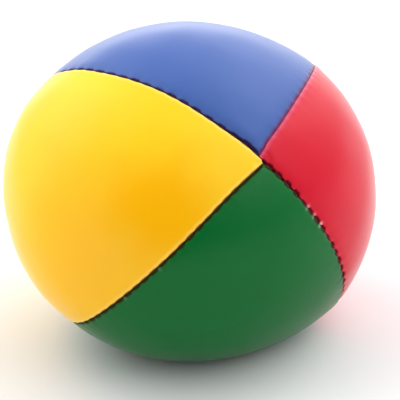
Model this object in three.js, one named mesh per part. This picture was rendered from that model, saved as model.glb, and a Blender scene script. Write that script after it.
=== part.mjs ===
// A bean bag juggling ball: four leatherette gores, sewn inside out and turned, round a fill of millet.
// It lies settled on its green gore, with one pole turned up and to the front.
// Millimetres, +Z up, standing on z = 0 with its box centred on the origin.

import * as THREE from 'three';

// The filled ball before it settles
const GIRTH_RADIUS = 34.4;       // centre to a round girth, half way between the poles
const POLE_RADIUS = 29.3;        // centre to either pole
const DIAGONAL_DRAW = 0.6;       // how far the gores draw in half way from a pole to the girth
const RELIEF_SHARPNESS = 40;     // how narrow the rise or dip along a seam is; a plain power
const FULLNESS_POWER = 3;        // how evenly a gore bulges between its seams; a plain power

// The gores in the order they follow each other round the poles. fullness is how far the middle of a
// gore stands out from the girth, and seamRelief how far the seam before the gore does. The gores are
// cut and sewn by hand, so that seam also runs a few degrees off its even place: atPoles and atGirth.
const GORES = [
  { name: 'panel_yellow', colour: 0xfcc318, fullness: 0.4, seamRelief: -0.9, atPoles: 1.4, atGirth: 2.5 },
  { name: 'panel_green', colour: 0x1c6b3a, fullness: -1, seamRelief: -0.7, atPoles: -1.4, atGirth: 0.5 },
  { name: 'panel_red', colour: 0xd2263c, fullness: 1.6, seamRelief: 0.6, atPoles: -0.1, atGirth: -1 },
  { name: 'panel_blue', colour: 0x4465b4, fullness: -1.7, seamRelief: 0.5, atPoles: 5.6, atGirth: -2.6 },
];
const SEAMS = { yellowBlue: 0, greenYellow: 1, redGreen: 2, blueRed: 3 };

// How the ball lies
const POLE_TILT = THREE.MathUtils.degToRad(54.1);    // pole axis away from upright, towards the front
const POLE_TURN = THREE.MathUtils.degToRad(31.6);    // then round the upright, towards the right
const POLE_SPIN = THREE.MathUtils.degToRad(121.7);   // of the seams about the pole axis
const SETTLED_HEIGHT = 0.936;    // height left once the seed has settled, as a share of the full height
const FOOT_RADIUS = 12.5;         // of the patch that the ball flattens and stands on
const FOOT_SHOULDER = 1.4;       // how softly the patch rolls up into the round of the ball
const FOOT_CUT = 0.5;            // the patch is cut this deep to a true flat

// The sewing thread
const THREAD = 0.5;              // thickness
const THREAD_SINK = 0.12;        // top of a stitch below the gores' surface
const STITCH_DROP = 0.8;         // how deep the thread dips between two stitches
const STITCH_LENGTH = 2.4;       // of the machine-sewn seams
const HAND_STITCH_LENGTH = 2.9;  // of the stretch closed by hand after filling
const THREAD_END_GAP = 0.5;      // along the seam, from one thread's end to the next thread
const CLOSED_FROM = THREE.MathUtils.degToRad(105);   // stretch closed by hand, from the front pole
const CLOSED_TO = THREE.MathUtils.degToRad(158);

// The leatherette and its sewn edges
const SHEET = 0.8;               // thickness of the leatherette
const INNER_TURN = 0.2;          // radius inside the fold where a gore's edge turns inwards
const THREAD_SIDE_GAP = 0.2;     // from the thread to the turned edge on either side of it
const ALLOWANCE = 4;             // seam allowance beyond the turn
const TIP_ALLOWANCE = 0.4;       // allowance left where the tips are trimmed at the poles
const TRIM_START = 10;           // distance from the pole axis where the trimming starts
const TRIM_END = 4;              // and where it has reached the tip allowance
const TIP_WIDTH = 0.5;           // width of a gore at its very tip
const TIP_TURN_SHARE = 0.8;      // of a narrow tip's half width that its turned edge may take

// The fill
const FILL_CLEARANCE = 0.35;     // between the packed seed and the leatherette
const FILL_HOLLOW = 2;           // how far the seed stays below the gathered tips at each pole

// Facets
const STATIONS = 32;             // steps of a gore from pole to pole
const STATION_CROWDING = 0.5;    // 0 spaces them evenly, 1 packs them towards the tips
const SKIN_STEPS = 9;            // steps across a gore between its turned edges
const TURN_STEPS = 2;            // steps round a turned edge
const FILL_STATIONS = 22;
const FILL_STEPS = 5;
const STITCH_STEPS = 4;
const ROUTE_SAMPLES = 400;       // points that a thread's route is measured with
const LEVEL_STEPS = 90;          // steps from pole to pole in the search for the lowest point
const SMALL_STEP = 1e-3;         // radians, for slopes of the surface

const GORE_ANGLE = 2 * Math.PI / GORES.length;
const HALF_SPREAD = THREAD / 2 + THREAD_SIDE_GAP;    // from a seam's middle to a turned edge
const TURN_RADIUS = SHEET + INNER_TURN;
const LIE = new THREE.Matrix4().makeRotationZ(POLE_TURN)
  .multiply(new THREE.Matrix4().makeRotationX(POLE_TILT))
  .multiply(new THREE.Matrix4().makeRotationZ(POLE_SPIN));

/** The corner points and triangles of one closed body. */
class Body {
  constructor() {
    this.positions = [];
    this.triangles = [];
  }

  point(vector) {
    this.positions.push(vector.x, vector.y, vector.z);
    return this.positions.length / 3 - 1;
  }

  points(vectors) {
    return vectors.map((vector) => this.point(vector));
  }

  quad(a, b, c, d) {
    this.triangles.push(a, b, c, a, c, d);
  }

  /** Quads between two rows of corners; the second row lies to the right of the first's direction. */
  strip(row, next, closed = false) {
    const count = closed ? row.length : row.length - 1;
    for (let j = 0; j < count; j += 1) {
      const k = (j + 1) % row.length;
      this.quad(row[j], next[j], next[k], row[k]);
    }
  }

  /** A fan of triangles that closes a ring to one point. */
  fan(ring, tip, facesForward) {
    ring.forEach((corner, j) => {
      const following = ring[(j + 1) % ring.length];
      this.triangles.push(tip, ...(facesForward ? [corner, following] : [following, corner]));
    });
  }

  geometry() {
    const geometry = new THREE.BufferGeometry();
    geometry.setAttribute('position', new THREE.Float32BufferAttribute(this.positions, 3));
    geometry.setIndex(this.triangles);
    geometry.computeVertexNormals();
    return geometry;
  }
}

/** Angle a seen from angle b, between minus and plus half a turn. */
function angleFrom(a, b) {
  return Math.atan2(Math.sin(a - b), Math.cos(a - b));
}

/** How far the meridians draw in at this angle from the pole, as a factor on both radii. */
function drawnIn(theta) {
  return 1 - DIAGONAL_DRAW / GIRTH_RADIUS * Math.sin(2 * theta) ** 2;
}

/** Distance of the round ball's surface from the pole axis. */
function axisDistance(theta) {
  return drawnIn(theta) * GIRTH_RADIUS * Math.sin(theta);
}

/** Angle round the poles at which a seam lies, at an angle from the pole. */
function seamAngle(theta, seam) {
  const { atPoles, atGirth } = GORES[seam % GORES.length];
  const off = THREE.MathUtils.lerp(atPoles, atGirth, Math.sin(theta) ** 2);
  return seam * GORE_ANGLE + THREE.MathUtils.degToRad(off);
}

/** Half the angle round the poles that a gore takes up, at an angle from the pole. */
function halfGoreAngle(theta, index) {
  return (seamAngle(theta, index + 1) - seamAngle(theta, index)) / 2;
}

/** Radius that the meridian at phi swings out to, with the fullness of the gores and seams. */
function swing(theta, phi) {
  const share = Math.sin(theta) ** 2;
  return GORES.reduce((radius, gore, i) => {
    const seam = seamAngle(theta, i);
    const half = halfGoreAngle(theta, i);
    const across = Math.min(1, Math.abs(angleFrom(phi, seam + half)) / half);
    const bulge = gore.fullness * (1 - across ** FULLNESS_POWER);
    const relief = gore.seamRelief * Math.max(0, Math.cos(phi - seam)) ** RELIEF_SHARPNESS;
    return radius + share * (bulge + relief);
  }, GIRTH_RADIUS);
}

/** Surface of the settled ball, before its foot is flattened. Theta runs from the front pole. */
function settledPoint(theta, phi) {
  const reach = drawnIn(theta) * Math.sin(theta) * swing(theta, phi);
  const height = drawnIn(theta) * Math.cos(theta) * POLE_RADIUS;
  const point = new THREE.Vector3(reach * Math.cos(phi), reach * Math.sin(phi), height).applyMatrix4(LIE);
  point.z *= SETTLED_HEIGHT;
  return point;
}

/** Height of the ball's lowest point before its foot is flattened. */
function lowestHeight() {
  let lowest = Infinity;
  for (let i = 1; i < LEVEL_STEPS; i += 1) {
    for (let j = 0; j < 2 * LEVEL_STEPS; j += 1) {
      lowest = Math.min(lowest, settledPoint(Math.PI * i / LEVEL_STEPS, Math.PI * j / LEVEL_STEPS).z);
    }
  }
  return lowest;
}

const FOOT_RISE = GIRTH_RADIUS - Math.sqrt(GIRTH_RADIUS ** 2 - FOOT_RADIUS ** 2);
const FOOT_LEVEL = lowestHeight() + FOOT_RISE + FOOT_SHOULDER / 2;

/** Surface of the ball as it lies, rolled up softly from the level of its foot. */
function surfacePoint(theta, phi) {
  const point = settledPoint(theta, phi);
  const rise = (point.z - FOOT_LEVEL) / FOOT_SHOULDER;
  point.z = FOOT_LEVEL + FOOT_SHOULDER * Math.log1p(Math.exp(rise));
  return point;
}

/** The surface's own directions at a place: round the pole, and outwards. */
function surfaceFrame(theta, phi) {
  const away = surfacePoint(theta + SMALL_STEP, phi).sub(surfacePoint(theta - SMALL_STEP, phi));
  const round = surfacePoint(theta, phi + SMALL_STEP).sub(surfacePoint(theta, phi - SMALL_STEP));
  const outwards = new THREE.Vector3().crossVectors(away, round).normalize();
  return { round: round.normalize(), outwards };
}

/** Keeps a point at this depth inside the surface from passing the flat foot. */
function standOnFoot(point, depth) {
  point.z = Math.max(point.z, FOOT_LEVEL + FOOT_CUT + depth);
  return point;
}

/** Point at a depth below the surface. */
function skinPoint(theta, phi, depth) {
  const { outwards } = surfaceFrame(theta, phi);
  return standOnFoot(surfacePoint(theta, phi).addScaledVector(outwards, -depth), depth);
}

/** Point beside a seam's middle plane, square to the seam, at a depth below the surface. */
function seamPoint(theta, seam, lateral, depth) {
  const phi = seamAngle(theta, seam);
  const { round, outwards } = surfaceFrame(theta, phi);
  const point = surfacePoint(theta, phi).addScaledVector(round, lateral);
  return standOnFoot(point.addScaledVector(outwards, -depth), depth);
}

/** Angles from the pole for a number of steps, closer together towards both ends. */
function spreadStations(first, count) {
  return Array.from({ length: count + 1 }, (_, i) => {
    const share = i / count;
    const crowded = share - STATION_CROWDING * Math.sin(2 * Math.PI * share) / (2 * Math.PI);
    return first + (Math.PI - 2 * first) * crowded;
  });
}

/** Seam allowance that is left at a distance from the pole axis. */
function allowanceAt(distance) {
  const untrimmed = THREE.MathUtils.smoothstep(distance, TRIM_END, TRIM_START);
  return THREE.MathUtils.lerp(TIP_ALLOWANCE, ALLOWANCE, untrimmed);
}

/**
 * A gore's turned edge at one station, from the free end of the allowance to the start of the skin,
 * as offsets from the seam. Near the tips the turn narrows with the gore.
 */
function turnedEdge(distance, halfAngle) {
  const room = distance * halfAngle - HALF_SPREAD;
  const squeeze = Math.min(1, TIP_TURN_SHARE * room / TURN_RADIUS);
  const reach = TURN_RADIUS * squeeze;
  const wall = SHEET * squeeze;
  const end = TURN_RADIUS + allowanceAt(distance);
  const edge = [{ outer: [HALF_SPREAD, end], inner: [HALF_SPREAD + wall, end] }];
  for (let i = 0; i < TURN_STEPS; i += 1) {
    const angle = Math.PI / 2 * i / TURN_STEPS;
    const across = Math.cos(angle);
    const down = Math.sin(angle);
    edge.push({
      outer: [HALF_SPREAD + reach - reach * across, TURN_RADIUS - TURN_RADIUS * down],
      inner: [HALF_SPREAD + reach - (reach - wall) * across, TURN_RADIUS - (TURN_RADIUS - SHEET) * down],
    });
  }
  return { edge, skinStart: (HALF_SPREAD + reach) / distance };
}

/** One gore: a curved sheet with both edges turned in, closed to a body of the sheet's thickness. */
function makeGore(index) {
  const tipAngle = (2 * HALF_SPREAD + TIP_WIDTH) / (GORE_ANGLE * GIRTH_RADIUS);
  const outer = [];
  const inner = [];
  spreadStations(tipAngle, STATIONS).forEach((theta) => {
    const { edge, skinStart } = turnedEdge(axisDistance(theta), halfGoreAngle(theta, index));
    const from = seamAngle(theta, index) + skinStart;
    const to = seamAngle(theta, index + 1) - skinStart;
    const rows = { outer: [], inner: [] };
    for (const face of ['outer', 'inner']) {
      const depth = face === 'outer' ? 0 : SHEET;
      const before = edge.map((step) => seamPoint(theta, index, step[face][0], step[face][1]));
      const after = edge.map((step) => seamPoint(theta, index + 1, -step[face][0], step[face][1]));
      const skin = Array.from({ length: SKIN_STEPS + 1 }, (_, j) => (
        skinPoint(theta, THREE.MathUtils.lerp(from, to, j / SKIN_STEPS), depth)));
      rows[face] = [...before, ...skin, ...after.reverse()];
    }
    outer.push(rows.outer);
    inner.push(rows.inner);
  });

  const body = new Body();
  const outside = outer.map((row) => body.points(row));
  const inside = inner.map((row) => body.points(row));
  for (let i = 0; i < STATIONS; i += 1) {
    body.strip(outside[i], outside[i + 1]);
    body.strip(inside[i + 1], inside[i]);
  }
  body.strip(inside[0], outside[0]);
  body.strip(outside[STATIONS], inside[STATIONS]);
  const column = (rows, j) => rows.map((row) => row[j]);
  const last = outside[0].length - 1;
  body.strip(column(outside, 0), column(inside, 0));
  body.strip(column(inside, last), column(outside, last));
  return body.geometry();
}

/** The millet, packed against the gores and round the four pairs of allowances. */
function makeFill() {
  const groove = HALF_SPREAD + SHEET + FILL_CLEARANCE;
  const firstAngle = 2 * groove / GIRTH_RADIUS;
  const depth = SHEET + FILL_CLEARANCE;
  const body = new Body();
  const rings = spreadStations(firstAngle, FILL_STATIONS).map((theta) => {
    const distance = axisDistance(theta);
    const grooveDepth = TURN_RADIUS + allowanceAt(distance) + FILL_CLEARANCE;
    const wall = groove / distance;
    const ring = [];
    GORES.forEach((_, i) => {
      const from = seamAngle(theta, i) + wall;
      const to = seamAngle(theta, i + 1) - wall;
      ring.push(seamPoint(theta, i, 0, grooveDepth), seamPoint(theta, i, groove, grooveDepth));
      for (let j = 0; j <= FILL_STEPS; j += 1) {
        ring.push(skinPoint(theta, THREE.MathUtils.lerp(from, to, j / FILL_STEPS), depth));
      }
      ring.push(seamPoint(theta, i + 1, -groove, grooveDepth));
    });
    return body.points(ring);
  });
  for (let i = 0; i < FILL_STATIONS; i += 1) {
    body.strip(rings[i], rings[i + 1], true);
  }
  const hollow = TURN_RADIUS + TIP_ALLOWANCE + FILL_HOLLOW;
  body.fan(rings[0], body.point(skinPoint(2 * SMALL_STEP, 0, hollow)), true);
  body.fan(rings[FILL_STATIONS], body.point(skinPoint(Math.PI - 2 * SMALL_STEP, 0, hollow)), false);
  return body.geometry();
}

/**
 * A sewing thread along a route over the ball. The route gives, for a share from 0 to 1, the angle
 * from the front pole and the seam; the thread rises in each stitch and dips between two.
 */
function makeThread(route, stitchLength) {
  const samples = new THREE.CatmullRomCurve3(Array.from({ length: ROUTE_SAMPLES + 1 }, (_, i) => {
    const { theta, seam } = route(i / ROUTE_SAMPLES);
    return surfacePoint(theta, seamAngle(theta, seam));
  }));
  samples.arcLengthDivisions = ROUTE_SAMPLES;
  const steps = Math.round(samples.getLength() / stitchLength) * STITCH_STEPS;
  const points = [];
  const normals = [];
  for (let i = 0; i <= steps; i += 1) {
    const { theta, seam } = route(samples.getUtoTmapping(i / steps));
    const lowered = (1 + Math.cos(2 * Math.PI * i / STITCH_STEPS)) / 2;
    const depth = THREAD_SINK + THREAD / 2 + STITCH_DROP * lowered;
    points.push(seamPoint(theta, seam, 0, depth));
    normals.push(surfaceFrame(theta, seamAngle(theta, seam)).outwards);
  }
  return threadGeometry(points, normals);
}

/** A square-sided thread through the points, with its sides kept square to the ball. */
function threadGeometry(points, normals) {
  const body = new Body();
  const rings = points.map((point, i) => {
    const before = points[Math.max(0, i - 1)];
    const after = points[Math.min(points.length - 1, i + 1)];
    const forward = after.clone().sub(before).normalize();
    const side = new THREE.Vector3().crossVectors(normals[i], forward).normalize();
    const up = new THREE.Vector3().crossVectors(forward, side);
    const corners = [[1, 1], [-1, 1], [-1, -1], [1, -1]];
    return body.points(corners.map(([a, b]) => (
      point.clone().addScaledVector(side, a * THREAD / 2).addScaledVector(up, b * THREAD / 2))));
  });
  for (let i = 1; i < rings.length; i += 1) {
    body.strip(rings[i], rings[i - 1], true);
  }
  body.quad(...rings[0].slice().reverse());
  body.quad(...rings[rings.length - 1]);
  return body.geometry();
}

/** Route along one seam from one angle from the front pole to another. */
function alongSeam(seam, from, to) {
  return (share) => ({ theta: THREE.MathUtils.lerp(from, to, share), seam });
}

/** Route right round the ball, over both poles, from one end of the hand-closed stretch to the other. */
function roundTheBall(seam, opposite) {
  const total = CLOSED_FROM + 2 * Math.PI - CLOSED_TO;
  const spare = THREAD_END_GAP / GIRTH_RADIUS;
  return (share) => {
    const turned = THREE.MathUtils.lerp(CLOSED_FROM - spare, CLOSED_FROM + spare - total, share);
    const overFirstPole = turned < 0;
    const overSecondPole = turned < -Math.PI;
    if (overSecondPole) {
      return { theta: 2 * Math.PI + turned, seam };
    }
    return overFirstPole ? { theta: -turned, seam: opposite } : { theta: turned, seam };
  };
}

function addPiece(group, name, geometry, colour, roughness) {
  const material = new THREE.MeshStandardMaterial({ color: colour, roughness, metalness: 0 });
  const mesh = new THREE.Mesh(geometry, material);
  mesh.name = name;
  group.add(mesh);
}

const LEATHERETTE_ROUGHNESS = 0.3;
const THREAD_ROUGHNESS = 0.8;
const THREAD_COLOUR = 0x1d1512;
const MILLET_ROUGHNESS = 0.9;
const MILLET_COLOUR = 0xd8b36a;

const ball = new THREE.Group();
GORES.forEach((gore, i) => {
  addPiece(ball, gore.name, makeGore(i), gore.colour, LEATHERETTE_ROUGHNESS);
});
addPiece(ball, 'millet_filling', makeFill(), MILLET_COLOUR, MILLET_ROUGHNESS);

// Two pairs of gores are sewn first, each along one seam. One thread then joins the pairs all round.
const poleEnd = (THREAD + THREAD_END_GAP) / POLE_RADIUS;
const PAIR_SEAMS = { seam_thread_yellow_blue: SEAMS.yellowBlue, seam_thread_red_green: SEAMS.redGreen };
Object.entries(PAIR_SEAMS).forEach(([name, seam]) => {
  const thread = makeThread(alongSeam(seam, poleEnd, Math.PI - poleEnd), STITCH_LENGTH);
  addPiece(ball, name, thread, THREAD_COLOUR, THREAD_ROUGHNESS);
});
const joining = makeThread(roundTheBall(SEAMS.blueRed, SEAMS.greenYellow), STITCH_LENGTH);
addPiece(ball, 'joining_thread', joining, THREAD_COLOUR, THREAD_ROUGHNESS);
const closing = makeThread(alongSeam(SEAMS.blueRed, CLOSED_FROM, CLOSED_TO), HAND_STITCH_LENGTH);
addPiece(ball, 'closing_thread', closing, THREAD_COLOUR, THREAD_ROUGHNESS);

const box = new THREE.Box3().setFromObject(ball);
const middle = box.getCenter(new THREE.Vector3());
ball.position.set(-middle.x, -middle.y, -box.min.z);

export default ball;
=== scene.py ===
"""A bean bag juggling ball: four glossy leatherette gores sewn round a filling of millet.

It lies settled on its green gore on a white floor, one pole turned up and to the front. Metres, +Z up.
"""

import math

import bpy
import numpy as np
from mathutils import Matrix, Vector
from mathutils.kdtree import KDTree


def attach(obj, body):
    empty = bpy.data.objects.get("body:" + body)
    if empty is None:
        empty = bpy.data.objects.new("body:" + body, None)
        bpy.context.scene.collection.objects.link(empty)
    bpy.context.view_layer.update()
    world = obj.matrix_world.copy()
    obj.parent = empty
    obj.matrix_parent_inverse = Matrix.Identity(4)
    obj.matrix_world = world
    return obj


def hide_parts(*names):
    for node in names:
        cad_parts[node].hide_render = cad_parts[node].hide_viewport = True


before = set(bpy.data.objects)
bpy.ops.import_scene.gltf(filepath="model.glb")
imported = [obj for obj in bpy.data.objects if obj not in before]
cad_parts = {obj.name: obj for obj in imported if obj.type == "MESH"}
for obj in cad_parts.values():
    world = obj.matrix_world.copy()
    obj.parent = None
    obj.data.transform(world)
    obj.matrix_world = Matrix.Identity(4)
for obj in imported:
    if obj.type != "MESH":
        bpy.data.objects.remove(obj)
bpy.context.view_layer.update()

MM = 0.001

# The ball's form, as in the solids
GIRTH_RADIUS = 34.4 * MM
POLE_RADIUS = 29.3 * MM
DIAGONAL_DRAW = 0.6 * MM
RELIEF_SHARPNESS = 40
FULLNESS_POWER = 3
FULLNESS = np.array([0.4, -1.0, 1.6, -1.7]) * MM
SEAM_RELIEF = np.array([-0.9, -0.7, 0.6, 0.5]) * MM
SEAM_AT_POLES = np.radians([1.4, -1.4, -0.1, 5.6])
SEAM_AT_GIRTH = np.radians([2.5, 0.5, -1.0, -2.6])
POLE_TILT = math.radians(54.1)
POLE_TURN = math.radians(31.6)
POLE_SPIN = math.radians(121.7)
SETTLED_HEIGHT = 0.936
FOOT_RADIUS = 12.5 * MM
FOOT_SHOULDER = 1.4 * MM
FOOT_CUT = 0.5 * MM

# Gores, and the seam before each, in the order they follow each other round the poles. Values given
# four at a time are in this order too.
COLOURS = ["yellow", "green", "red", "blue"]
YELLOW_BLUE, GREEN_YELLOW, RED_GREEN, BLUE_RED = range(4)
GORE_ANGLE = math.pi / 2

# How far each seam is sewn off its even course, at every 15 degrees from the front pole
SWAY_STEP = math.radians(15)
SWAY = np.array([
    [-0.20, -0.05, -0.55, -0.60, -0.30, -0.50, -0.25, 0.0],
    [-0.20, 0.00, 0.22, 0.37, 0.30, 0.35, 0.60, 0.3],
    [0.10, 0.12, 0.38, 0.92, 0.90, 1.75, -1.00, 0.0],
    [0.20, 0.45, 0.00, -0.08, 0.05, 0.00, 0.00, 0.0],
]) * MM

# At the front pole the two sewn pairs miss each other: the yellow and the red tip meet along a short
# stretch of the joining seam, which jogs there, and the blue and the green tip stop short
JOG = 0.6 * MM
JOG_TURN = np.radians([-15, 75, -15, 75])
JOG_FADE = 5 * MM
SWAY_CORE = 3 * MM

# Sewn edges. The allowance is trimmed towards the poles, and a gore ends where it gets too narrow.
SHEET = 0.8 * MM
TURN_RADIUS = 0.5 * MM
ALLOWANCE = 4 * MM
TIP_ALLOWANCE = 0.4 * MM
TRIM_START = 10 * MM
TRIM_END = 4 * MM
TIP_WIDTH = 0.3 * MM
TIP_TURN_SHARE = 0.8

# Half the width of the slot between two turned edges: where they close up, at a stitch, and deep inside
SLOT_SHUT = 0.01 * MM
SLOT_OPEN = np.array([0.08, 0.08, 0.15, 0.01]) * MM
HALF_SLOT = 0.08 * MM
SLOT_DEEPENING = 0.6

# Share of the turned edge's width that shows between two stitches, where the edges close up, and at one
TURN_SHARE = [(0.75, 1.0), (0.7, 0.95), (0.45, 0.9), (0.3, 0.36)]

# Along this stretch by the front pole the stitches show less in the seams
CREASE_POLE = 9 * MM
POLE_STEADINESS = 0.8

# The proud edge of each seam keeps straighter than the low one
PROUD_OPENING = 0.6
PROUD_WAVE = [0.3, 0.3, 0.7, 0.3]

# Stitches. A needle hole lies off its even place by this share of a stitch at most, and each stitch
# pulls by a strength of its own.
STITCH_LENGTH = np.array([2.55, 2.25, 2.25, 2.6]) * MM
HAND_STITCH_LENGTH = 2.9 * MM
MACHINE_SCATTER = 0.06
HAND_SCATTER = 0.12
PULL_RANGE = (0.65, 1.35)
STITCH_SEED = 30
FIRST_HOLE = np.array([0.0, 0.0, 0.65, 0.0]) * MM

# Stretch of the blue and red seam that was left open for the filling and closed by hand
CLOSED_FROM = math.radians(105)
CLOSED_TO = math.radians(158)

# The thread: its thickness, how deep it lies below the gores in a stitch and how much deeper at a needle
# hole, and its twist
THREAD = 0.34 * MM
THREAD_SINK = np.array([0.26, 0.38, 0.18, 0.70]) * MM
STITCH_DROP = 0.8 * MM
THREAD_TWIST = 1.1 * MM
PLIES = 3
PLY_RELIEF = 0.1

# How far from its middle, as a share of its length, a stitch pulls fully, stops pulling and stays on top
FULL_PULL = 0.16
NO_PULL = 0.46
STITCH_TOP = 0.26

# Mesh
STATIONS = 640
STATION_CROWDING = 0.55
SKIN_STEPS = 52
SKIN_CROWDING = 0.72
TURN_STEPS = 7
INNER_STATIONS = 120
INNER_STEPS = 18
INNER_CROWDING = 0.3
THREAD_STEPS = 14
THREAD_SIDES = 12
SEAM_SAMPLES = 1500
SEAM_MARGIN = 0.002
TIP_SAMPLES = 2000
TIP_REACH = (0.001, 0.1)
SMALL_STEP = 1e-3

# How finely the ball is searched for its lowest point
FOOT_ROWS = 90
FOOT_COLUMNS = 180
POLE_MARGIN = 0.03

LIE = np.array((Matrix.Rotation(POLE_TURN, 3, "Z") @ Matrix.Rotation(POLE_TILT, 3, "X")
                @ Matrix.Rotation(POLE_SPIN, 3, "Z")))


def smoothstep(x, low, high):
    t = np.clip((x - low) / (high - low), 0, 1)
    return t * t * (3 - 2 * t)


def angle_from(a, b):
    """Angle a seen from angle b, between minus and plus half a turn."""
    return np.arctan2(np.sin(a - b), np.cos(a - b))


def drawn_in(theta):
    return 1 - DIAGONAL_DRAW / GIRTH_RADIUS * np.sin(2 * theta) ** 2


def axis_distance(theta):
    return drawn_in(theta) * GIRTH_RADIUS * np.sin(theta)


def spline_weight(x):
    """Uniform cubic spline's weight for a value that lies x steps away."""
    x = np.abs(x)
    near = 2 / 3 - x ** 2 + x ** 3 / 2
    far = np.maximum(0, 2 - x) ** 3 / 6
    return np.where(x < 1, near, far)


def seam_angle(theta, seam):
    number = seam % 4
    share = np.sin(theta) ** 2
    angle = seam * GORE_ANGLE + SEAM_AT_POLES[number] * (1 - share) + SEAM_AT_GIRTH[number] * share
    away = np.maximum(theta * POLE_RADIUS, JOG)
    sway = 0
    for i in range(SWAY.shape[1]):
        sway = sway + SWAY[number, i] * spline_weight(theta / SWAY_STEP - i)
    angle = angle + sway / np.maximum(axis_distance(theta), SWAY_CORE) * smoothstep(away, JOG, SWAY_CORE)
    fade = np.exp(-((away - JOG) / JOG_FADE) ** 2)
    return angle + np.arcsin(JOG * np.sin(JOG_TURN[number]) * fade / away)


def settled_points(theta, phi):
    """Surface of the settled ball before its foot is flattened, about its own centre."""
    theta, phi = np.broadcast_arrays(theta, phi)
    share = np.sin(theta) ** 2
    swing = np.full(theta.shape, GIRTH_RADIUS)
    for i in range(4):
        seam = seam_angle(theta, i)
        half = (seam_angle(theta, i + 1) - seam) / 2
        across = np.minimum(1, np.abs(angle_from(phi, seam + half)) / np.maximum(half, SMALL_STEP))
        relief = SEAM_RELIEF[i] * np.maximum(0, np.cos(phi - seam)) ** RELIEF_SHARPNESS
        swing = swing + share * (FULLNESS[i] * (1 - across ** FULLNESS_POWER) + relief)
    reach = drawn_in(theta) * np.sin(theta) * swing
    height = drawn_in(theta) * np.cos(theta) * POLE_RADIUS
    points = np.stack([reach * np.cos(phi), reach * np.sin(phi), height], -1) @ LIE.T
    points[..., 2] *= SETTLED_HEIGHT
    return points


def foot_level():
    """Height at which the foot is flattened, seen from the ball's centre."""
    theta = np.linspace(POLE_MARGIN, math.pi - POLE_MARGIN, FOOT_ROWS)[:, None]
    phi = np.linspace(0, 2 * math.pi, FOOT_COLUMNS)[None, :]
    lowest = settled_points(theta, phi)[..., 2].min()
    rise = GIRTH_RADIUS - math.sqrt(GIRTH_RADIUS ** 2 - FOOT_RADIUS ** 2)
    return lowest + rise + FOOT_SHOULDER / 2


FOOT_LEVEL = foot_level()

# Place of the ball's centre in the frame, where the box of the solids is centred on the origin
OFFSET = np.array([-0.501 * MM, -0.076 * MM, -(FOOT_LEVEL + FOOT_CUT)])


def surface_points(theta, phi):
    """Surface of the settled ball with its flattened foot."""
    points = settled_points(theta, phi)
    rise = (points[..., 2] - FOOT_LEVEL) / FOOT_SHOULDER
    points[..., 2] = FOOT_LEVEL + FOOT_SHOULDER * np.logaddexp(0, rise)
    return points


def unit(vectors):
    return vectors / np.linalg.norm(vectors, axis=-1, keepdims=True)


def surface_frame(theta, phi):
    """Directions round the ball and out of its surface."""
    away = surface_points(theta + SMALL_STEP, phi) - surface_points(theta - SMALL_STEP, phi)
    around = surface_points(theta, phi + SMALL_STEP) - surface_points(theta, phi - SMALL_STEP)
    return unit(around), unit(np.cross(away, around))


FIELD_WAVES = 14
FIELD_SPREAD = (0.75, 1.4)


def smooth_field(points, wavelength, seed):
    """A smooth random field over space, about one high, from a few plane waves."""
    rng = np.random.RandomState(seed)
    directions = unit(rng.normal(size=(FIELD_WAVES, 3)))
    scales = 2 * math.pi / (wavelength * rng.uniform(*FIELD_SPREAD, FIELD_WAVES))
    shifts = rng.uniform(0, 2 * math.pi, FIELD_WAVES)
    total = np.zeros(points.shape[:-1])
    for direction, scale, shift in zip(directions, scales, shifts):
        total += np.cos(points @ direction * scale + shift)
    return total / math.sqrt(FIELD_WAVES / 2)


class Seam:
    """One seam and its stitches, counted from the front pole."""

    def __init__(self, index):
        self.index = index
        self.theta = np.linspace(SEAM_MARGIN, math.pi - SEAM_MARGIN, SEAM_SAMPLES)
        line = surface_points(self.theta, self.phi(self.theta))
        steps = np.linalg.norm(np.diff(line, axis=0), axis=1)
        self.along = np.concatenate([[0], np.cumsum(steps)])
        self.sew(np.random.RandomState(STITCH_SEED + index))

    def sew(self, rng):
        """Sets the needle holes, by machine or, where the ball was closed, by hand."""
        holes = [FIRST_HOLE[self.index] - STITCH_LENGTH[self.index]]
        while holes[-1] < self.along[-1]:
            theta = np.interp(holes[-1], self.along, self.theta)
            by_hand = self.index == BLUE_RED and CLOSED_FROM < theta < CLOSED_TO
            length = HAND_STITCH_LENGTH if by_hand else STITCH_LENGTH[self.index]
            scatter = HAND_SCATTER if by_hand else MACHINE_SCATTER
            holes.append(holes[-1] + length * (1 + scatter * rng.uniform(-1, 1)))
        self.holes = np.array(holes)
        self.pull = rng.uniform(*PULL_RANGE, len(holes))

    def phi(self, theta):
        return seam_angle(theta, self.index)

    def phase(self, theta):
        """Whole numbers at the needle holes."""
        return np.interp(np.interp(theta, self.theta, self.along), self.holes, np.arange(len(self.holes)))

    def theta_at(self, phase):
        return np.interp(np.interp(phase, np.arange(len(self.holes)), self.holes), self.along, self.theta)

    def tension(self, theta):
        """One in the middle of a stitch and nothing between two, with a pull of its own for each."""
        phase = self.phase(theta)
        pull = self.pull[np.minimum(np.floor(phase).astype(int), len(self.pull) - 1)]
        from_middle = np.abs(phase - np.floor(phase) - 0.5)
        return pull * (1 - smoothstep(from_middle, FULL_PULL, NO_PULL))


SEAMS = [Seam(i) for i in range(4)]

# One edge of each seam stands proud of the other. The blue, green and red edge, in this order, lies low
# beside the yellow, yellow and green one, and the blue one beside the red.
PROUD = 0.05 * MM
LOW = -0.12 * MM
LOW_AT_POLE = -0.2 * MM
POLE_REACH = 16 * MM
EDGE_WIDTH = 1.3 * MM
LOW_SIDES = [-1, 1, 1, 1]

STITCH_DIP = 0.05 * MM
STITCH_WIDTH = 0.8 * MM
GATHER = 0.012 * MM
GATHER_LENGTH = 4.2 * MM
GATHER_WIDTH = 2.6 * MM
GATHER_SEED = 11


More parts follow.
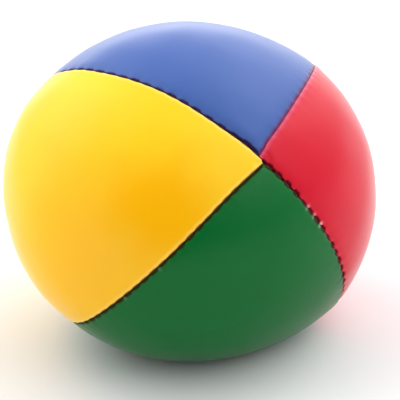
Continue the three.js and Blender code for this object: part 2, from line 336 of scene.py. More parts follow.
def seam_relief(seam, side, theta, lateral, points):
    """How far the surface stands out beside a seam: drawn in at the stitches, full between them."""
    tension = seam.tension(theta)
    near = np.exp(-(lateral / STITCH_WIDTH) ** 2)
    fold = np.exp(-(lateral / GATHER_WIDTH) ** 2)
    gather = smooth_field(points, GATHER_LENGTH, GATHER_SEED) - (tension - 0.5)
    along = np.interp(theta, seam.theta, seam.along)
    height = PROUD
    if side == LOW_SIDES[seam.index]:
        height = LOW + (LOW_AT_POLE if seam.index == YELLOW_BLUE else 0) * np.exp(-(along / POLE_REACH) ** 2)
    edge = height * np.exp(-(lateral / EDGE_WIDTH) ** 2)
    return edge - STITCH_DIP * tension * near + GATHER * gather * fold


def crowded(count, crowding):
    """Steps from nothing to one, closer together towards both ends."""
    share = np.linspace(0, 1, count + 1)
    return share - crowding * np.sin(2 * math.pi * share) / (2 * math.pi)


def new_object(name, points, faces, smooth=True):
    mesh = bpy.data.meshes.new(name)
    mesh.from_pydata(points.tolist(), [], faces)
    mesh.update()
    mesh.polygons.foreach_set("use_smooth", [smooth] * len(mesh.polygons))
    piece = bpy.data.objects.new(name, mesh)
    bpy.context.scene.collection.objects.link(piece)
    return piece


def grid_faces(index, flip=False):
    """Quads over a grid of vertex numbers."""
    a, b, c, d = index[:-1, :-1], index[1:, :-1], index[1:, 1:], index[:-1, 1:]
    order = (a, d, c, b) if flip else (a, b, c, d)
    return np.stack([x.ravel() for x in order], 1).tolist()


# The stuffed cover. It starts slightly small and uneven, a cloth held at its stitches, its foot and its
# poles, and the seed swells it out against them. The cloth is worked out at ten times its size.
COVER_SCALE = 10
COVER_ROWS = 150
COVER_STEPS = 18
COVER_THETA = POLE_MARGIN + (math.pi - 2 * POLE_MARGIN) * crowded(COVER_ROWS, 0.3)
COVER_SHARE = crowded(COVER_STEPS, 0.6)
COVER_HOLD = 0.6
COVER_INSET = 0.25 * MM
COVER_UNEVENNESS = 0.6
COVER_UNEVEN_LENGTH = 18 * MM
COVER_SEED = 5
COVER_MASS = 0.3
COVER_STRETCH = 5
COVER_SHEAR = 1.7
COVER_BENDING = 0.05
COVER_PRESSURE = 20
COVER_TRAVEL = 0.3 * MM
COVER_FRAMES = 20

# Slight unevenness of leatherette over seed
UNEVENNESS = 0.025 * MM
UNEVEN_LENGTH = 8 * MM
UNEVEN_SEED = 21


def cover_columns():
    """Points, outward directions and hold of the cover, a column of them for each step round it."""
    points, outwards, hold = [], [], []
    for index in range(4):
        low, high = seam_angle(COVER_THETA, index), seam_angle(COVER_THETA, index + 1)
        for number, share in enumerate(COVER_SHARE[:-1]):
            phi = low + (high - low) * share
            points.append(surface_points(COVER_THETA, phi))
            outwards.append(surface_frame(COVER_THETA, phi)[1])
            held = np.zeros(len(COVER_THETA))
            if number == 0:
                held = COVER_HOLD + (1 - COVER_HOLD) * np.minimum(1, SEAMS[index].tension(COVER_THETA))
            held[points[-1][:, 2] < FOOT_LEVEL + FOOT_CUT + SHEET] = 1
            held[:2] = 1
            held[-2:] = 1
            hold.append(held.round(2))
    return np.stack(points, 1), np.stack(outwards, 1), np.stack(hold, 1)


def swollen(cover):
    """Corners of the cover once the pressure inside it has swelled it."""
    cloth = cover.modifiers.new("cover", "CLOTH")
    settings = cloth.settings
    settings.mass = COVER_MASS
    settings.tension_stiffness = COVER_STRETCH
    settings.compression_stiffness = COVER_STRETCH
    settings.shear_stiffness = COVER_SHEAR
    settings.bending_stiffness = COVER_BENDING
    settings.use_pressure = True
    settings.uniform_pressure_force = COVER_PRESSURE
    settings.effector_weights.gravity = 0
    settings.vertex_group_mass = "held"
    cloth.collision_settings.use_collision = False
    for number in range(1, COVER_FRAMES + 1):
        bpy.context.scene.frame_set(number)
    done = cover.evaluated_get(bpy.context.evaluated_depsgraph_get()).to_mesh()
    corners = np.empty(len(done.vertices) * 3)
    done.vertices.foreach_get("co", corners)
    bpy.context.scene.frame_set(1)
    return corners


def cover_swell():
    """How far the swollen cover stands off its even form, row by row and step by step of each gore."""
    points, outwards, hold = cover_columns()
    full = np.concatenate([np.sin(math.pi * COVER_SHARE[:-1]) ** 0.5] * 4)[None, :]
    uneven = 1 + COVER_UNEVENNESS * smooth_field(points, COVER_UNEVEN_LENGTH, COVER_SEED)
    inset = COVER_INSET * full * uneven * np.sin(COVER_THETA)[:, None] ** 0.5 * (hold < 1)
    start = points - outwards * inset[..., None]
    index = np.arange(hold.size).reshape(hold.shape)
    faces = grid_faces(np.concatenate([index, index[:, :1]], 1))
    faces += [index[0][::-1].tolist(), index[-1].tolist()]
    cover = new_object("cover", start.reshape(-1, 3) * COVER_SCALE, faces)
    held = cover.vertex_groups.new(name="held")
    for value in np.unique(hold[hold > 0]):
        held.add(np.nonzero(hold.ravel() == value)[0].tolist(), float(value), "REPLACE")
    end = swollen(cover).reshape(start.shape) / COVER_SCALE
    bpy.data.objects.remove(cover)
    off = np.clip(((end - points) * outwards).sum(-1), -COVER_TRAVEL, COVER_TRAVEL)
    off = np.concatenate([off, off[:, :1]], 1)
    return [off[:, i * COVER_STEPS:(i + 1) * COVER_STEPS + 1] for i in range(4)]


def swell(theta, index, share):
    """The cover's stand-off at these places of a gore, smoothed."""
    if SWELL is None:
        return 0 * theta
    grid = SWELL[index % 4]
    row = np.interp(theta, COVER_THETA, np.arange(grid.shape[0]))
    column = np.interp(share + 0 * theta, COVER_SHARE, np.arange(grid.shape[1]))
    total = 0
    for i in range(-1, 3):
        for j in range(-1, 3):
            r = np.floor(row).astype(int) + i
            c = np.floor(column).astype(int) + j
            value = grid[np.clip(r, 0, grid.shape[0] - 1), np.clip(c, 0, grid.shape[1] - 1)]
            total = total + spline_weight(row - r) * spline_weight(column - c) * value
    return total


def cover_rise(theta, index, share, points):
    """The cover's stand-off with its slight unevenness."""
    return swell(theta, index, share) + UNEVENNESS * smooth_field(points, UNEVEN_LENGTH, UNEVEN_SEED)


def stand(points, depth):
    """Keeps points of a layer, this deep in the cover, above the floor."""
    points[..., 2] = np.maximum(points[..., 2], FOOT_LEVEL + FOOT_CUT + depth)
    return points


def room_at(theta, index):
    """Half the width of a gore, without its share of the slots beside it."""
    half = (seam_angle(theta, index + 1) - seam_angle(theta, index)) / 2
    return axis_distance(theta) * half - HALF_SLOT


def tip_angles(index):
    """Where a gore ends at the front pole and at the back one."""
    theta = np.linspace(*TIP_REACH, TIP_SAMPLES)
    front = theta[room_at(theta, index) > TIP_WIDTH / 2][0]
    back = theta[room_at(math.pi - theta, index) > TIP_WIDTH / 2][0]
    return front, math.pi - back


def drawn_open(seam, theta):
    """How far a seam is drawn open: fully at a stitch, not between two, and more evenly by the pole."""
    by_pole = POLE_STEADINESS * np.exp(-(np.interp(theta, seam.theta, seam.along) / CREASE_POLE) ** 2)
    return np.maximum(np.minimum(1, seam.tension(theta)), by_pole)


def opening_at(seam, side, theta):
    """How far one edge of a seam is drawn open there."""
    opening = drawn_open(seam, theta)
    if side == LOW_SIDES[seam.index]:
        return opening
    return PROUD_OPENING + PROUD_WAVE[seam.index] * (opening - PROUD_OPENING)


def half_slot(seam, opening):
    """Half the width of a seam's slot where it is drawn open this far."""
    return SLOT_SHUT + (SLOT_OPEN[seam.index] - SLOT_SHUT) * opening


def turn_share(seam, opening):
    """Share of a turned edge's width that shows where its seam is drawn open this far."""
    between, stitched = TURN_SHARE[seam.index]
    return between + (stitched - between) * opening


def narrowing(theta, index, width):
    """One along most of a gore, less where its tips leave no room for an edge of this width."""
    return np.minimum(1, TIP_TURN_SHARE * room_at(theta, index) / width)


def allowance_at(distance):
    """Seam allowance at a distance from the poles' axis."""
    trim = smoothstep(distance, TRIM_END, TRIM_START)
    return TIP_ALLOWANCE + (ALLOWANCE - TIP_ALLOWANCE) * trim


def edge_columns(index, side, theta, profile, squeeze):
    """Columns of points beside one seam of a gore, for pairs of lateral distance and depth."""
    seam = SEAMS[(index + side) % 4]
    sign = 1 if side == 0 else -1
    around, outwards = surface_frame(theta, seam.phi(theta))
    base = surface_points(theta, seam.phi(theta))
    columns = []
    for lateral, depth in profile:
        rise = cover_rise(theta, index, side, base)
        rise = rise + seam_relief(seam, sign, theta, lateral, base) * squeeze
        spot = base + around * (sign * lateral)[:, None] - outwards * (depth - rise)[:, None]
        columns.append(stand(spot, np.minimum(depth, SHEET)))
    return columns


def skin_columns(index, theta, starts, depth, steps, crowding, squeeze):
    """Columns of points across a gore between its turned edges."""
    distance = axis_distance(theta)
    low = seam_angle(theta, index) + starts[0] / distance
    high = seam_angle(theta, index + 1) - starts[1] / distance
    columns = []
    for share in crowded(steps, crowding):
        phi = low + (high - low) * share
        base = surface_points(theta, phi)
        _, outwards = surface_frame(theta, phi)
        start = seam_angle(theta, index)
        rise = cover_rise(theta, index, (phi - start) / (seam_angle(theta, index + 1) - start), base)
        for side, sign in ((0, 1), (1, -1)):
            seam = SEAMS[(index + side) % 4]
            lateral = np.abs(angle_from(phi, seam_angle(theta, index + side))) * distance
            rise = rise + seam_relief(seam, sign, theta, lateral, base) * squeeze
        columns.append(stand(base - outwards * (depth - rise)[:, None], depth))
    return columns


def outer_points(index):
    """Outer face of a gore: down one allowance, round the turn, across the skin, and back."""
    front, back = tip_angles(index)
    theta = front + (back - front) * crowded(STATIONS, STATION_CROWDING)
    squeeze = narrowing(theta, index, TURN_RADIUS)
    end = TURN_RADIUS + allowance_at(axis_distance(theta))
    sides = []
    starts = []
    for side in (0, 1):
        seam = SEAMS[(index + side) % 4]
        opening = opening_at(seam, 1 if side == 0 else -1, theta)
        slot = half_slot(seam, opening)
        reach = TURN_RADIUS * squeeze * turn_share(seam, opening)
        starts.append(slot + reach)
        deep = slot + SLOT_DEEPENING * (HALF_SLOT - slot)
        profile = [(0 * slot + HALF_SLOT, end), (deep, (end + TURN_RADIUS) / 2)]
        for i in range(TURN_STEPS):
            angle = math.pi / 2 * i / TURN_STEPS
            depth = TURN_RADIUS * (1 - math.sin(angle)) + 0 * slot
            profile.append((slot + reach * (1 - math.cos(angle)), depth))
        sides.append(edge_columns(index, side, theta, profile, squeeze))
    skin = skin_columns(index, theta, starts, 0.0, SKIN_STEPS, SKIN_CROWDING, squeeze)
    return np.stack(sides[0] + skin + sides[1][::-1], 1)


def inner_points(index):
    """Inner face of a gore, parallel to the outer one but with fewer corners."""
    front, back = tip_angles(index)
    theta = front + (back - front) * crowded(INNER_STATIONS, STATION_CROWDING)
    squeeze = narrowing(theta, index, TURN_RADIUS)
    end = TURN_RADIUS + allowance_at(axis_distance(theta))
    wall = HALF_SLOT + SHEET * narrowing(theta, index, SHEET)
    sides = []
    for side in (0, 1):
        profile = [(wall, end), (wall, (end + SHEET) / 2)]
        sides.append(edge_columns(index, side, theta, profile, squeeze))
    skin = skin_columns(index, theta, [wall, wall], SHEET, INNER_STEPS, INNER_CROWDING, squeeze)
    return np.stack(sides[0] + skin + sides[1][::-1], 1)


def zip_faces(near, far):
    """Triangles between two rows of vertex numbers that may differ in count."""
    faces = []
    i = j = 0
    while i < len(near) - 1 or j < len(far) - 1:
        step_far = i == len(near) - 1
        if not step_far and j < len(far) - 1:
            step_far = (j + 1) / (len(far) - 1) < (i + 1) / (len(near) - 1)
        if step_far:
            faces.append((near[i], far[j + 1], far[j]))
            j += 1
        else:
            faces.append((near[i], near[i + 1], far[j]))
            i += 1
    return faces


def make_gore(index):
    outer = outer_points(index)
    inner = inner_points(index)
    out = np.arange(outer[..., 0].size).reshape(outer.shape[:2])
    inn = out.size + np.arange(inner[..., 0].size).reshape(inner.shape[:2])
    faces = grid_faces(out) + grid_faces(inn, True)
    faces += zip_faces(inn[0], out[0]) + zip_faces(out[-1], inn[-1])
    faces += zip_faces(out[:, 0], inn[:, 0]) + zip_faces(inn[:, -1], out[:, -1])
    points = np.concatenate([outer.reshape(-1, 3), inner.reshape(-1, 3)]) + OFFSET
    gore = new_object("gore_" + COLOURS[index], points, [[int(v) for v in face] for face in faces])
    mark_edges(gore, index, outer, inner)
    return gore


# Painted light and shade along the turned edges: a painted highlight on each rim, a painted dark line on
# the blue by the red, and painted shade in the creases
RIM_SHADING_WIDTH = np.array([0.3, 0.3, 0.3, 0.42]) * MM
LOW_RIM_SHADING = [0.08, 0.08, 0.03, 1.0]
PROUD_RIM_SHADING = [0.5, 0.5, 0.2, 0.75]
CREASE_SHADE_DEPTH = 0.45 * MM
CREASE_SHADE_STRENGTH = [1.0, 1.0, 1.0, 0.0]

# How far the painted shade of each crease reaches past the lip of the low edge and of the proud one,
# between two stitches and at one
LOW_CREASE_SHADE = np.array([(-0.10, 0.12), (0.15, 0.25), (-0.30, 0.26), (0.05, 0.05)]) * MM
PROUD_CREASE_SHADE = np.array([(-0.25, -0.2), (-0.12, -0.02), (-0.2, 0.22), (-0.2, -0.2)]) * MM
CREASE_SHADE_REACH_AT_POLE = np.array([0.45, 0.0, 0.16, 0.0]) * MM

# Painted glints: pale specks at needle holes where the edge catches the light. Seam, distance from the
# pole and how strong the glint is
PAINTED_GLINTS = [
    (RED_GREEN, 12.6 * MM, 0.5),
    (RED_GREEN, 14.9 * MM, 0.45),
    (RED_GREEN, 17.4 * MM, 0.9),
    (GREEN_YELLOW, 26.2 * MM, 0.12),
    (GREEN_YELLOW, 35.0 * MM, 0.12),
]
GLINT_LENGTH = 0.22 * MM
GLINT_WIDTH = 0.35 * MM


def edge_marks(index, side, theta, distance):
    """Painted rim highlight and shade, painted crease shade and painted glints beside one seam, by signed
    distance from the lip of the turned edge.
    """
    seam = SEAMS[(index + side) % 4]
    along = np.interp(theta, seam.theta, seam.along)[:, None]
    opening = drawn_open(seam, theta)[:, None]
    low = LOW_SIDES[seam.index] == (1 if side == 0 else -1)
    between, stitched = (LOW_CREASE_SHADE if low else PROUD_CREASE_SHADE)[seam.index]
    reach = between + (stitched - between) * opening
    if low:
        reach = reach + CREASE_SHADE_REACH_AT_POLE[seam.index] * np.exp(-(along / CREASE_POLE) ** 2)
    # Painted shade: the colour darkens down into the groove, where shade falls
    painted_crease_shade = CREASE_SHADE_STRENGTH[seam.index] * (1 - smoothstep(distance, reach - CREASE_SHADE_DEPTH, reach))
    # Painted highlight where the turned edge catches the light; on the blue by the red, a painted dark seam
    # line
    painted_rim_shading = (LOW_RIM_SHADING if low else PROUD_RIM_SHADING)[seam.index] * np.exp(-(distance / RIM_SHADING_WIDTH[seam.index]) ** 2)
    # Painted glints: pale specks at needle holes
    painted_glint = 0 * distance
    for number, place, strength in PAINTED_GLINTS:
        if number == seam.index:
            hole = seam.holes[np.argmin(np.abs(seam.holes - place))]
            beyond = np.maximum(0, distance) / GLINT_WIDTH
            strength = strength if low else strength / 2
            painted_glint = painted_glint + strength * np.exp(-((along - hole) / GLINT_LENGTH) ** 2 - beyond ** 2)
    return [painted_rim_shading * (1 - painted_crease_shade), painted_crease_shade, painted_glint * (distance > -TURN_RADIUS)]


def mark_edges(gore, index, outer, inner):
    """Stores on each corner how much it gets of the painted rim shading, the painted crease shade or a
    painted glint of its gore's edges.
    """
    front, back = tip_angles(index)
    theta = front + (back - front) * crowded(STATIONS, STATION_CROWDING)
    angle = math.pi / 2 * (1 - np.arange(TURN_STEPS) / TURN_STEPS)
    buried = np.concatenate([[-ALLOWANCE, -ALLOWANCE / 2], -TURN_RADIUS * angle])
    turned = len(buried)
    buried = np.repeat(buried[None], len(theta), 0)
    sides = []
    for side, face in ((0, outer), (1, outer[:, ::-1])):
        open_skin = face[:, turned:]
        steps = np.linalg.norm(np.diff(open_skin, axis=1, prepend=open_skin[:, :1]), axis=-1)
        distance = np.concatenate([buried, np.cumsum(steps, 1)], 1)
        sides.append(edge_marks(index, side, theta, distance))
    for name, first, second in zip(("painted_rim_shading", "painted_crease_shade", "painted_glint"), sides[0], sides[1]):
        value = np.maximum(first, second[:, ::-1]).ravel()
        attribute = gore.data.attributes.new(name, "FLOAT", "POINT")
        attribute.data.foreach_set("value", np.concatenate([value, np.zeros(inner[..., 0].size)]))


def thread_line(seam, first, last):
    """Middle line of the thread from one needle hole to another, with its outward directions."""
    phase = np.linspace(first, last, int(round(abs(last - first) * THREAD_STEPS)) + 1)
    theta = seam.theta_at(phase)
    from_middle = np.abs(phase - np.floor(phase) - 0.5)
    low = smoothstep(from_middle, STITCH_TOP, 0.5)
    phi = seam.phi(theta)
    _, outwards = surface_frame(theta, phi)
    depth = THREAD_SINK[seam.index] + THREAD / 2 + STITCH_DROP * low - swell(theta, seam.index, 0)
    return surface_points(theta, phi) - outwards * depth[:, None], outwards


def make_thread(name, points, outwards):
    """A plied thread along a line."""
    forward = unit(np.gradient(points, axis=0))
    side = unit(np.cross(outwards, forward))
    up = np.cross(forward, side)
    along = np.concatenate([[0], np.cumsum(np.linalg.norm(np.diff(points, axis=0), axis=1))])
    angle = np.linspace(0, 2 * math.pi, THREAD_SIDES, endpoint=False)
    twist = 2 * math.pi * along / THREAD_TWIST
    radius = THREAD / 2 * (1 + PLY_RELIEF * np.cos(PLIES * angle[None, :] - twist[:, None]))
    ring = (points[:, None] + side[:, None] * (radius * np.cos(angle))[..., None]
            + up[:, None] * (radius * np.sin(angle))[..., None])
    index = np.arange(len(points) * THREAD_SIDES).reshape(len(points), THREAD_SIDES)
    index = np.concatenate([index, index[:, :1]], 1)
    faces = grid_faces(index, True)
    faces.append(index[0, :-1].tolist())
    faces.append(index[-1, :-1][::-1].tolist())
    return new_object(name, ring.reshape(-1, 3) + OFFSET, faces)


def joined(*lines):
    """One thread line from several that follow on from each other."""
    return tuple(np.concatenate(parts) for parts in zip(*lines))


def principled(name):
    material = bpy.data.materials.new(name)
    material.use_nodes = True
    tree = material.node_tree
    return material, tree, tree.nodes["Principled BSDF"]


def add(tree, kind, **values):
    node = tree.nodes.new(kind)
    for key, value in values.items():
        if key in node.inputs:
            node.inputs[key].default_value = value
        else:
            setattr(node, key, value)
    return node


def srgb(r, g, b):
    def linear(c):
        c /= 255
        return c / 12.92 if c <= 0.04045 else ((c + 0.055) / 1.055) ** 2.4
    return (linear(r), linear(g), linear(b), 1)


# Pale colour of the painted glints at needle holes
PAINTED_GLINT_COLOUR = srgb(235, 205, 200)

# Colour of the coat, of the painted highlight on its rim (on the blue, a painted dark purple seam line) and
# of the painted shade in its creases
PAINT = {
    "yellow": (srgb(255, 204, 30), srgb(255, 218, 112), srgb(158, 92, 8)),
    "green": (srgb(1, 101, 42), srgb(50, 125, 75), srgb(46, 56, 12)),
    "red": (srgb(206, 14, 42), srgb(205, 80, 124), srgb(98, 10, 16)),
    "blue": (srgb(66, 96, 164), srgb(102, 46, 98), srgb(48, 28, 72)),
}

# Gloss of every coat, the soft bloom that each shows towards its outline, and the share of both that is
# left in the painted crease shade
GLOSS = 0.16
BLOOM = {"yellow": 0.3, "green": 0.1, "red": 0.40, "blue": 0.22}
BLOOM_ROUGHNESS = 0.3
CREASE_SHADE_GLOSS = 0.2

# Faint clouds in the coat, smears in its gloss, and its grain. Scales are in features to the metre.
CLOUD_SCALE = 110.0
CLOUD_SHADES = (0.93, 1.04)
SMEAR_SCALE = 45.0
SMEAR_ROUGHNESS = (0.26, 0.36)
GRAIN_SCALE = 1700.0
GRAIN_STRENGTH = 0.1
GRAIN_HEIGHT = 0.05 * MM

# Painted shade: the yellow runs deeper orange towards these places, where its coat reflects least light,
# each with how far that reaches and its colour there
PAINTED_SHADE_PATCHES = [
    (surface_points(np.array(1.17), np.array(1.32)) + OFFSET, 26 * MM, srgb(255, 191, 36)),
    (surface_points(np.array(0.60), np.array(1.23)) + OFFSET, 14.5 * MM, srgb(255, 184, 0)),
]
SHADE_PATCH_CORE = 2 * MM
SHADE_PATCH_RAGGED = 12 * MM
SHADE_PATCH_RAGGED_SCALE = 130.0


def mapped(tree, value, low, high):
    """A value from nothing to one, brought to a range."""
    node = add(tree, "ShaderNodeMapRange", **{"To Min": low, "To Max": high})
    tree.links.new(value, node.inputs["Value"])
    return node.outputs["Result"]


def noise(tree, place, scale, detail):
    node = add(tree, "ShaderNodeTexNoise", Scale=scale, Detail=detail)
    tree.links.new(place, node.inputs["Vector"])
    return node.outputs


def mix_in(tree, base, colour, factor):
    mix = add(tree, "ShaderNodeMix", data_type="RGBA")
    mix.inputs["B"].default_value = colour
    tree.links.new(base, mix.inputs["A"])
    tree.links.new(factor, mix.inputs["Factor"])
    return mix.outputs["Result"]


def marked(tree, name):
    """A mark that the mesh carries."""
    return add(tree, "ShaderNodeAttribute", attribute_name=name).outputs["Fac"]


def painted_shade_patch(tree, place, middle, reach):
    """Mask of a painted shade patch: one round a place, nothing beyond its reach, with a ragged edge."""
    moved = add(tree, "ShaderNodeVectorMath", operation="MULTIPLY_ADD")
    moved.inputs[1].default_value = (SHADE_PATCH_RAGGED, SHADE_PATCH_RAGGED, SHADE_PATCH_RAGGED)
    tree.links.new(noise(tree, place, SHADE_PATCH_RAGGED_SCALE, 2.0)["Color"], moved.inputs[0])
    tree.links.new(place, moved.inputs[2])
    far = add(tree, "ShaderNodeVectorMath", operation="DISTANCE")
    far.inputs[1].default_value = middle + SHADE_PATCH_RAGGED / 2
    tree.links.new(moved.outputs["Vector"], far.inputs[0])
    share = add(tree, "ShaderNodeMapRange", interpolation_type="SMOOTHSTEP",
                **{"From Min": reach, "From Max": SHADE_PATCH_CORE})
    tree.links.new(far.outputs["Value"], share.inputs["Value"])
    return share.outputs["Result"]


def leatherette(name, coat, painted_rim_shading, painted_crease_shade, bloom):
    """Smooth coated leatherette: an even colour with painted light and shade along its seams and, on the
    yellow, painted shade patches; a fine grain and a soft gloss.
    """
    material, tree, shader = principled(name)
    links = tree.links
    place = add(tree, "ShaderNodeTexCoord").outputs["Object"]
    shader.inputs["Sheen Roughness"].default_value = BLOOM_ROUGHNESS
    for socket, level in (("Specular IOR Level", GLOSS), ("Sheen Weight", bloom)):
        faded = mapped(tree, marked(tree, "painted_crease_shade"), level, CREASE_SHADE_GLOSS * level)
        links.new(faded, shader.inputs[socket])

    tint = add(tree, "ShaderNodeMix", data_type="RGBA", blend_type="MULTIPLY")
    tint.inputs["Factor"].default_value = 1
    tint.inputs["A"].default_value = coat
    links.new(mapped(tree, noise(tree, place, CLOUD_SCALE, 3.0)["Fac"], *CLOUD_SHADES), tint.inputs["B"])
    colour = tint.outputs["Result"]
    # Painted shade: deeper orange patches on the yellow where its coat reflects least light
    if name.endswith("yellow"):
        for middle, reach, deep in PAINTED_SHADE_PATCHES:
            colour = mix_in(tree, colour, deep, painted_shade_patch(tree, place, middle, reach))
    # Painted highlight along the rims, and a painted dark line on the blue by the red
    colour = mix_in(tree, colour, painted_rim_shading, marked(tree, "painted_rim_shading"))
    # Painted shade in the creases of the seams
    colour = mix_in(tree, colour, painted_crease_shade, marked(tree, "painted_crease_shade"))
    # Painted glints at needle holes
    colour = mix_in(tree, colour, PAINTED_GLINT_COLOUR, marked(tree, "painted_glint"))
    links.new(colour, shader.inputs["Base Color"])

    smear = noise(tree, place, SMEAR_SCALE, 4.0)["Fac"]
    links.new(mapped(tree, smear, *SMEAR_ROUGHNESS), shader.inputs["Roughness"])

    grain = add(tree, "ShaderNodeTexVoronoi", Scale=GRAIN_SCALE)
    links.new(place, grain.inputs["Vector"])
    fine = add(tree, "ShaderNodeBump", Strength=GRAIN_STRENGTH, Distance=GRAIN_HEIGHT)
    links.new(grain.outputs["Distance"], fine.inputs["Height"])
    links.new(fine.outputs["Normal"], shader.inputs["Normal"])
    return material


SWELL = cover_swell()

for number, colour in enumerate(COLOURS):
    gore = make_gore(number)
    gore.data.materials.append(leatherette("leatherette_" + colour, *PAINT[colour], BLOOM[colour]))
    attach(gore, "root")
    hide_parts("panel_" + colour)

FIBRE_SCALE = 2500.0


def sewing_thread():
    """Dark waxed thread, its plies a little paler where they rub."""
    material, tree, shader = principled("thread")
    place = add(tree, "ShaderNodeTexCoord").outputs["Object"]
    plies = add(tree, "ShaderNodeMix", data_type="RGBA")
    plies.inputs["A"].default_value = srgb(36, 17, 14)
    plies.inputs["B"].default_value = srgb(74, 42, 34)
    tree.links.new(noise(tree, place, FIBRE_SCALE, 2.0)["Fac"], plies.inputs["Factor"])
    tree.links.new(plies.outputs["Result"], shader.inputs["Base Color"])
    shader.inputs["Roughness"].default_value = 0.65
    return material


THREAD_MATERIAL = sewing_thread()


def add_thread(name, node, line):
    thread = make_thread(name, *line)
    thread.data.materials.append(THREAD_MATERIAL)
    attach(thread, "root")
    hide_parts(node)


# Share of a stitch by which a seam's thread stops short of its last hole, and the joining thread of the
# poles, where it passes from one seam to the other
END = 0.35
POLE_END = 0.1


def sew_pairs():
    """One thread along the yellow and blue seam, and one along the red and green one."""
    for number, name in ((YELLOW_BLUE, "seam_thread_yellow_blue"), (RED_GREEN, "seam_thread_red_green")):
        seam = SEAMS[number]
        line = thread_line(seam, seam.phase(0) + END, seam.phase(math.pi) - END)
        add_thread("stitches_" + COLOURS[number] + "_seam", name, line)


def join_pairs():
    """One thread right round over both poles, and the one that closed the opening by hand."""
    opened = SEAMS[BLUE_RED]
    opposite = SEAMS[GREEN_YELLOW]
    first = np.ceil(opened.phase(CLOSED_FROM))
    last = np.floor(opened.phase(CLOSED_TO))
    add_thread("joining_stitches", "joining_thread", joined(
        thread_line(opened, first - END, opened.phase(0) + POLE_END),
        thread_line(opposite, opposite.phase(0) + POLE_END, opposite.phase(math.pi) - POLE_END),
        thread_line(opened, opened.phase(math.pi) - POLE_END, last + END)))
    add_thread("closing_stitches", "closing_thread", thread_line(opened, first, last))


sew_pairs()
join_pairs()

# The millet, one bumpy body of seed packed against the gores and round their seam allowances
FILL_CLEARANCE = 0.35 * MM
FILL_HOLLOW = 2 * MM
FILL_STATIONS = 170
FILL_STEPS = 56
SEED = 1.9 * MM
SEED_ROUND = 0.45 * MM
SEED_ROW = 0.92 * SEED
SEED_SCATTER = 0.2
FILL_SEED = 7


def seed_tree():
    """Middles of the seeds that lie against the cover."""
    rng = np.random.RandomState(FILL_SEED)
    middles = []
    theta = SEED / POLE_RADIUS
    while theta < math.pi - SEED / POLE_RADIUS:
        count = max(3, int(2 * math.pi * axis_distance(theta) / SEED))
        scatter = rng.uniform(0, 1) + rng.uniform(-SEED_SCATTER, SEED_SCATTER, count)
        turns = 2 * math.pi * (np.arange(count) + scatter) / count
        tilts = theta + SEED / POLE_RADIUS * rng.uniform(-SEED_SCATTER, SEED_SCATTER, count)
        middles.append(surface_points(tilts, turns) - surface_frame(tilts, turns)[1] * SHEET)
        theta += SEED_ROW / GIRTH_RADIUS
    middles = np.concatenate(middles)
    tree = KDTree(len(middles))
    for number, middle in enumerate(middles):
        tree.insert(middle, number)
    tree.balance()
    return tree


def fill_points():
    """Outside of the filling before its bumps, row by row from the front pole."""
    groove = HALF_SLOT + SHEET + FILL_CLEARANCE
    depth = SHEET + FILL_CLEARANCE
    first = 2 * groove / GIRTH_RADIUS
    theta = first + (math.pi - 2 * first) * crowded(FILL_STATIONS, STATION_CROWDING)
    distance = axis_distance(theta)
    bottom = TURN_RADIUS + allowance_at(distance) + FILL_CLEARANCE
    columns = []
    for index in range(4):
        low = seam_angle(theta, index)
        high = seam_angle(theta, index + 1)
        profile = [(low, bottom), (low + groove / distance, bottom)]
        for share in np.linspace(0, 1, FILL_STEPS + 1):
            phi = low + groove / distance + (high - low - 2 * groove / distance) * share
            profile.append((phi, depth + 0 * theta))
        profile.append((high - groove / distance, bottom))
        for phi, down in profile:
            outwards = surface_frame(theta, phi)[1]
            columns.append(stand(surface_points(theta, phi) - outwards * down[:, None], depth))
    return np.stack(columns, 1)


def make_fill():
    points = fill_points()
    tree = seed_tree()
    towards_middle = unit(points.mean((0, 1)) - points)
    flat = points.reshape(-1, 3)
    far = np.array([tree.find(point)[2] for point in flat]).reshape(points.shape[:2])
    bump = SEED_ROUND * np.minimum(1, (far / (SEED / 2)) ** 2)
    points = points + towards_middle * bump[..., None]
    index = np.arange(far.size).reshape(far.shape)
    faces = grid_faces(np.concatenate([index, index[:, :1]], 1))
    ends = surface_points(np.array([SMALL_STEP, math.pi - SMALL_STEP]), np.zeros(2))
    hollow = TURN_RADIUS + TIP_ALLOWANCE + FILL_HOLLOW
    ends = ends + unit(points.mean((0, 1)) - ends) * hollow
    for row, end, turn in ((index[0], far.size, 1), (index[-1], far.size + 1, -1)):
        around = np.append(row, row[0])[::turn]
        faces += [[int(a), int(end), int(b)] for a, b in zip(around[1:], around[:-1])]
    return new_object("millet", np.concatenate([points.reshape(-1, 3), ends]) + OFFSET, faces)


def millet_seed():
    """Husked seed: straw yellow, each grain of its own shade."""
    material, tree, shader = principled("millet")
    place = add(tree, "ShaderNodeTexCoord").outputs["Object"]
    grains = add(tree, "ShaderNodeTexVoronoi", Scale=1 / SEED)
    tree.links.new(place, grains.inputs["Vector"])
    shade = add(tree, "ShaderNodeMix", data_type="RGBA")
    shade.inputs["A"].default_value = srgb(196, 150, 82)
    shade.inputs["B"].default_value = srgb(232, 202, 132)
    tree.links.new(grains.outputs["Color"], shade.inputs["Factor"])
    tree.links.new(shade.outputs["Result"], shader.inputs["Base Color"])
    shader.inputs["Roughness"].default_value = 0.7
    return material


fill = make_fill()
fill.data.materials.append(millet_seed())
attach(fill, "root")
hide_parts("millet_filling")

# Camera: the ball's centre and the size of a pixel there in the frame, and its place
FRAME_PX = 400
BALL_CENTRE_PX = (189.4, 189.6)
PIXEL = GIRTH_RADIUS / 188.6
ELEVATION = math.radians(27)
DISTANCE = 12 * GIRTH_RADIUS
SENSOR = 36
CLIP = (0.01, 20)


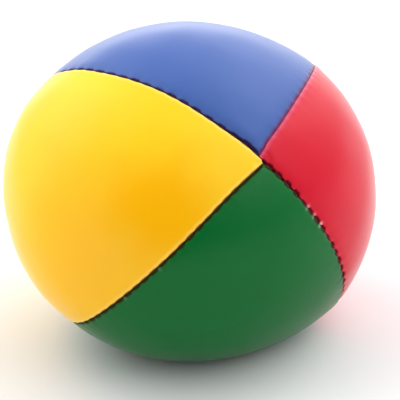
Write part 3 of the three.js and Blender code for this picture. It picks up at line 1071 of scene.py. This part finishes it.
def add_camera():
    centre = Vector(OFFSET)
    back = Vector((0, -math.cos(ELEVATION), math.sin(ELEVATION)))
    up = Vector((0, math.sin(ELEVATION), math.cos(ELEVATION)))
    right = Vector((1, 0, 0))
    camera = bpy.data.objects.new("camera", bpy.data.cameras.new("camera"))
    bpy.context.scene.collection.objects.link(camera)
    camera.location = centre + back * DISTANCE
    aside = right * (FRAME_PX / 2 - BALL_CENTRE_PX[0]) - up * (FRAME_PX / 2 - BALL_CENTRE_PX[1])
    camera.rotation_mode = "QUATERNION"
    camera.rotation_quaternion = (centre + aside * PIXEL - camera.location).to_track_quat("-Z", "Y")
    camera.data.sensor_width = SENSOR
    camera.data.lens = SENSOR * DISTANCE / (FRAME_PX * PIXEL)
    camera.data.clip_start, camera.data.clip_end = CLIP
    bpy.context.scene.camera = camera


add_camera()

# Floor
FLOOR_HALF = 3
FLOOR_WHITE = 0.79


def add_floor():
    corners = [(-1, -1, 0), (1, -1, 0), (1, 1, 0), (-1, 1, 0)]
    floor = new_object("floor", np.array(corners) * FLOOR_HALF, [[0, 1, 2, 3]], False)
    material, _, shader = principled("floor")
    shader.inputs["Base Color"].default_value = (FLOOR_WHITE, FLOOR_WHITE, FLOOR_WHITE, 1)
    shader.inputs["Roughness"].default_value = 0.9
    shader.inputs["Specular IOR Level"].default_value = 0.0
    floor.data.materials.append(material)


add_floor()

# Surroundings: a light tent, brightest behind the ball and above it. Each soft light has a direction,
# from straight behind the ball round to its right and upwards in degrees, a strength and a tightness.
TENT_LIGHTS = {
    "behind": (-3, 0, 3.3, 8.0),
    "left": (-64, 45, 3.8, 9.0),
    "low_left": (-82, 5, 1.4, 8.6),
    "overhead": (49, 47, 3.8, 9.0),
    "low_right": (32, 16, 0.5, 5.5),
    "right": (96, 8, 0.4, 6.0),
    "front_right": (124, 44, 1.95, 9.0),
    "front_left": (229, 14, 0.8, 9.0),
}
TENT_GLOOM = 0.01


def direction(azimuth, elevation):
    a, e = math.radians(azimuth), math.radians(elevation)
    return (math.cos(e) * math.sin(a), math.cos(e) * math.cos(a), math.sin(e))


def light_tent():
    world = bpy.data.worlds.new("light_tent")
    bpy.context.scene.world = world
    world.use_nodes = True
    tree = world.node_tree
    towards = add(tree, "ShaderNodeVectorMath", operation="NORMALIZE")
    tree.links.new(add(tree, "ShaderNodeTexCoord").outputs["Generated"], towards.inputs[0])
    total = None
    for name, (azimuth, elevation, strength, tightness) in TENT_LIGHTS.items():
        near = add(tree, "ShaderNodeVectorMath", operation="DOT_PRODUCT", name=name)
        near.inputs[1].default_value = direction(azimuth, elevation)
        tree.links.new(towards.outputs["Vector"], near.inputs[0])
        falloff = add(tree, "ShaderNodeMath", operation="MULTIPLY_ADD")
        falloff.inputs[1].default_value = tightness
        falloff.inputs[2].default_value = -tightness
        tree.links.new(near.outputs["Value"], falloff.inputs[0])
        glow = add(tree, "ShaderNodeMath", operation="EXPONENT")
        tree.links.new(falloff.outputs["Value"], glow.inputs[0])
        added = add(tree, "ShaderNodeMath", operation="MULTIPLY_ADD")
        added.inputs[1].default_value = strength
        added.inputs[2].default_value = TENT_GLOOM
        tree.links.new(glow.outputs["Value"], added.inputs[0])
        if total:
            tree.links.new(total, added.inputs[2])
        total = added.outputs["Value"]
    tree.links.new(total, tree.nodes["Background"].inputs["Strength"])
    tree.nodes["Background"].inputs["Color"].default_value = (1, 1, 1, 1)


light_tent()

bpy.context.scene.view_settings.view_transform = "Standard"
